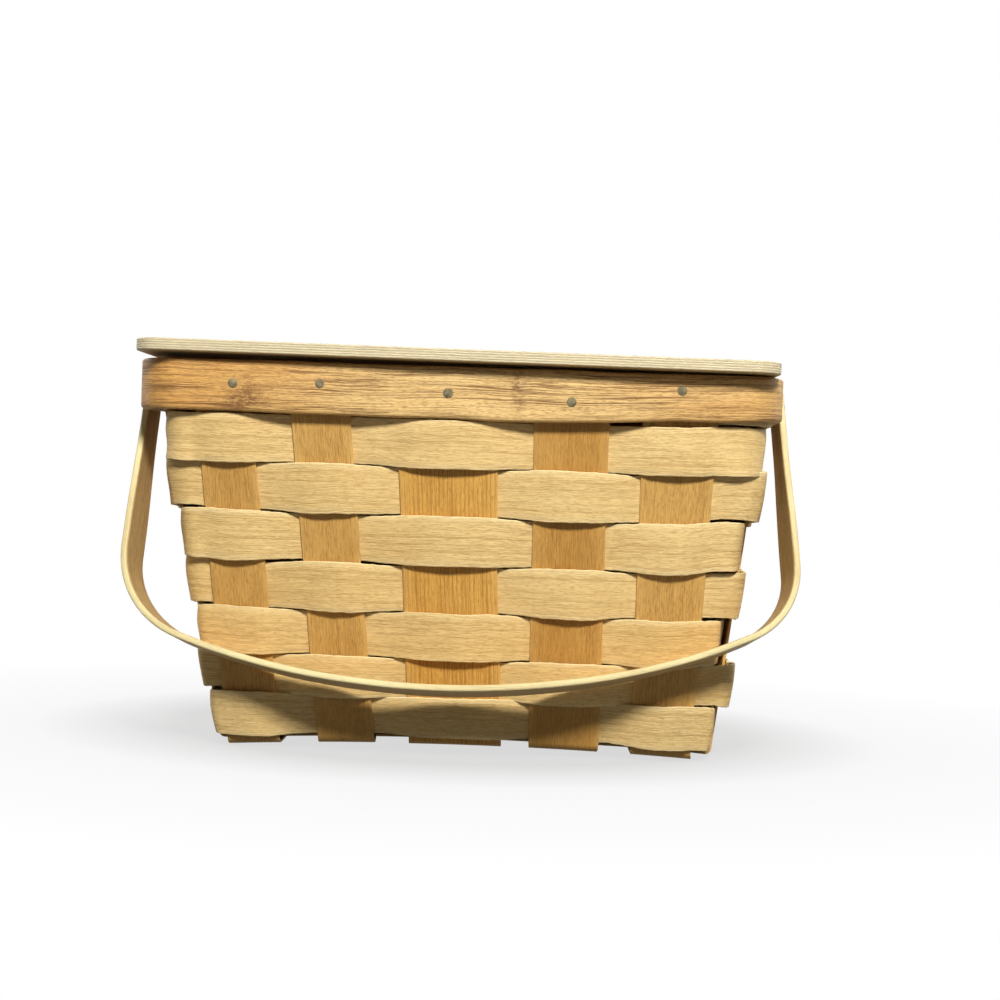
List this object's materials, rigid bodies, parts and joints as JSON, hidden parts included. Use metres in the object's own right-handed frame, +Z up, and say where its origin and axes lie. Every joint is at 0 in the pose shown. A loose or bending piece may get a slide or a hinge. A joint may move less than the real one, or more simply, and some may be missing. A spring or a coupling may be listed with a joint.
{
  "type": "lidded splint basket",
  "caption": "Rectangular tapered basket of woven wood splints with a nailed bent rim, a flat lid on rear hinges and flat bentwood swing handles.",
  "frame": {"origin": "centre of the outline in plan, at the underside of the base", "axes": "+X along the length, to the right seen from the front; +Y to the back, where the lid hinges are; +Z up"},
  "size_m": [0.3434, 0.2506, 0.206],
  "materials": {
    "weaver_splint": "satin, aged",
    "upright_splint": "satin, aged",
    "rim_wood": "satin, open pores",
    "lid_board": "satin, pale plies on the edge",
    "handle_wood": "satin",
    "nail_metal": "dull, tarnished",
    "rivet_metal": "dull, tarnished",
    "hinge_brass": "dull, tarnished"
  },
  "bodies": {
    "basket_body": {"cross_splint_1": "upright_splint", "cross_splint_2": "upright_splint", "cross_splint_3": "upright_splint", "cross_splint_4": "upright_splint", "cross_splint_5": "upright_splint", "long_splint_front": "upright_splint", "long_splint_middle": "upright_splint", "long_splint_rear": "upright_splint", "rim_weaver": "weaver_splint", "weaver_1": "weaver_splint", "weaver_2": "weaver_splint", "weaver_3": "weaver_splint", "weaver_4": "weaver_splint", "weaver_5": "weaver_splint", "weaver_6": "weaver_splint", "weaver_7": "weaver_splint", "outer_rim": "rim_wood", "inner_rim": "rim_wood", "rim_nails": "nail_metal", "handle_rivets": "rivet_metal", "pivot_washers": "rivet_metal", "rivet_burrs": "rivet_metal", "hinge_rim_leaf_left": "hinge_brass", "hinge_rim_leaf_right": "hinge_brass", "hinge_pin_left": "hinge_brass", "hinge_pin_right": "hinge_brass", "rim_hinge_screws": "hinge_brass"},
    "lid_body": {"lid": "lid_board", "hinge_lid_leaf_left": "hinge_brass", "hinge_lid_leaf_right": "hinge_brass", "lid_hinge_screws": "hinge_brass"},
    "front_handle_body": {"front_handle": "handle_wood"},
    "rear_handle_body": {"rear_handle": "handle_wood"}
  },
  "joints": [
    {"name": "lid_hinge", "type": "hinge", "parent": "basket_body", "child": "lid_body", "pos_m": [0, 0.1105, 0.19895], "axis": [-1, 0, 0], "range_deg": [0, 210]},
    {"name": "front_handle_swing", "type": "hinge", "parent": "basket_body", "child": "front_handle_body", "pos_m": [0, -0.05245, 0.18545], "axis": [-1, 0, 0], "range_deg": [0, 171.7]},
    {"name": "rear_handle_swing", "type": "hinge", "parent": "basket_body", "child": "rear_handle_body", "pos_m": [0, 0.05245, 0.18545], "axis": [1, 0, 0], "range_deg": [0, 171.7]}
  ]
}
